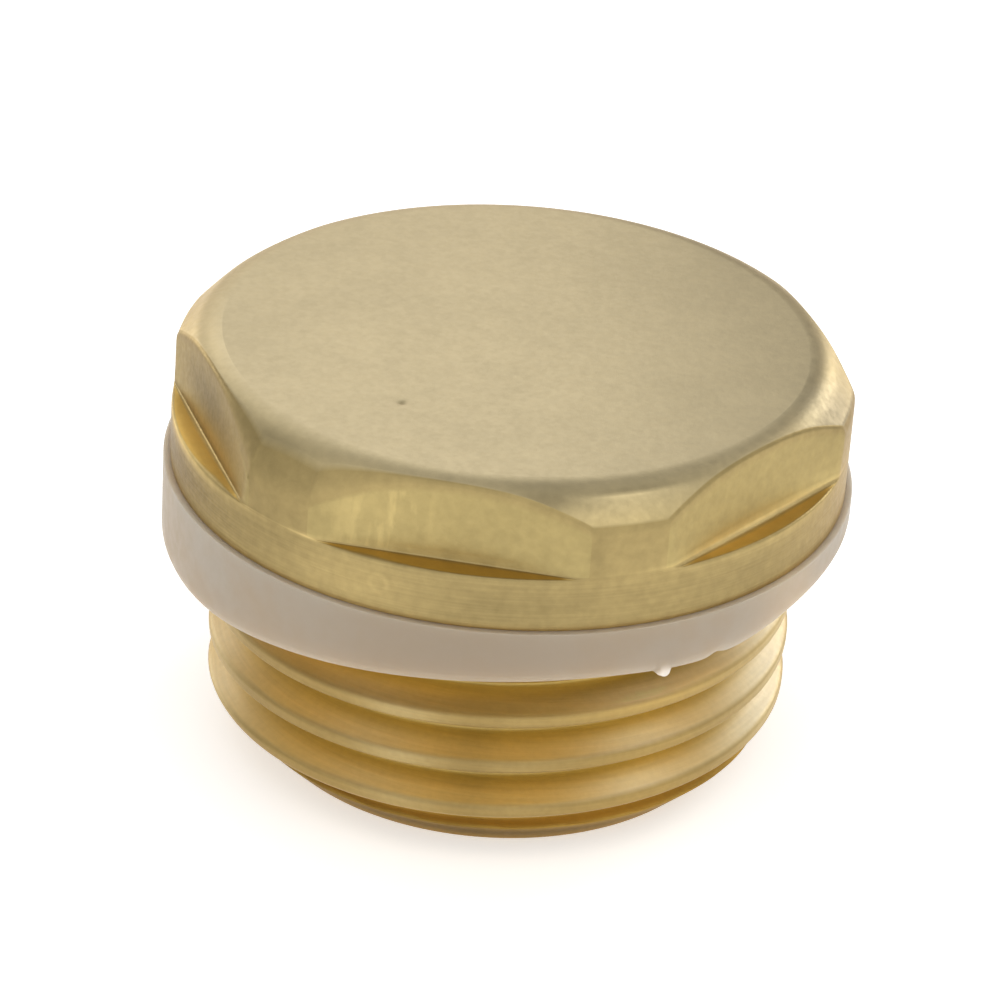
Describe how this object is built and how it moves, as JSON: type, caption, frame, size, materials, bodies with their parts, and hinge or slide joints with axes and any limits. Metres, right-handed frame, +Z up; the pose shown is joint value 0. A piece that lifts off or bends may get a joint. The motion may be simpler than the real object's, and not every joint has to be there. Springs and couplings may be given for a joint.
{
  "type": "radiator blanking plug",
  "caption": "Brass plug with a round head, milled spanner flats, a parallel pipe thread and a white plastic sealing washer, for closing an unused radiator port.",
  "frame": {"origin": "centre of the thread's end face, which the plug stands on", "axes": "+Z up the plug's axis from the thread to the head; -Y is the outward normal of one spanner flat"},
  "size_m": [0.0244, 0.0244, 0.0155],
  "materials": {
    "brass": "satin turned brass with milled flats",
    "white_plastic": "soft off-white moulded plastic"
  },
  "bodies": {
    "root": {"plug_body": "brass", "sealing_washer": "white_plastic"}
  },
  "joints": []
}
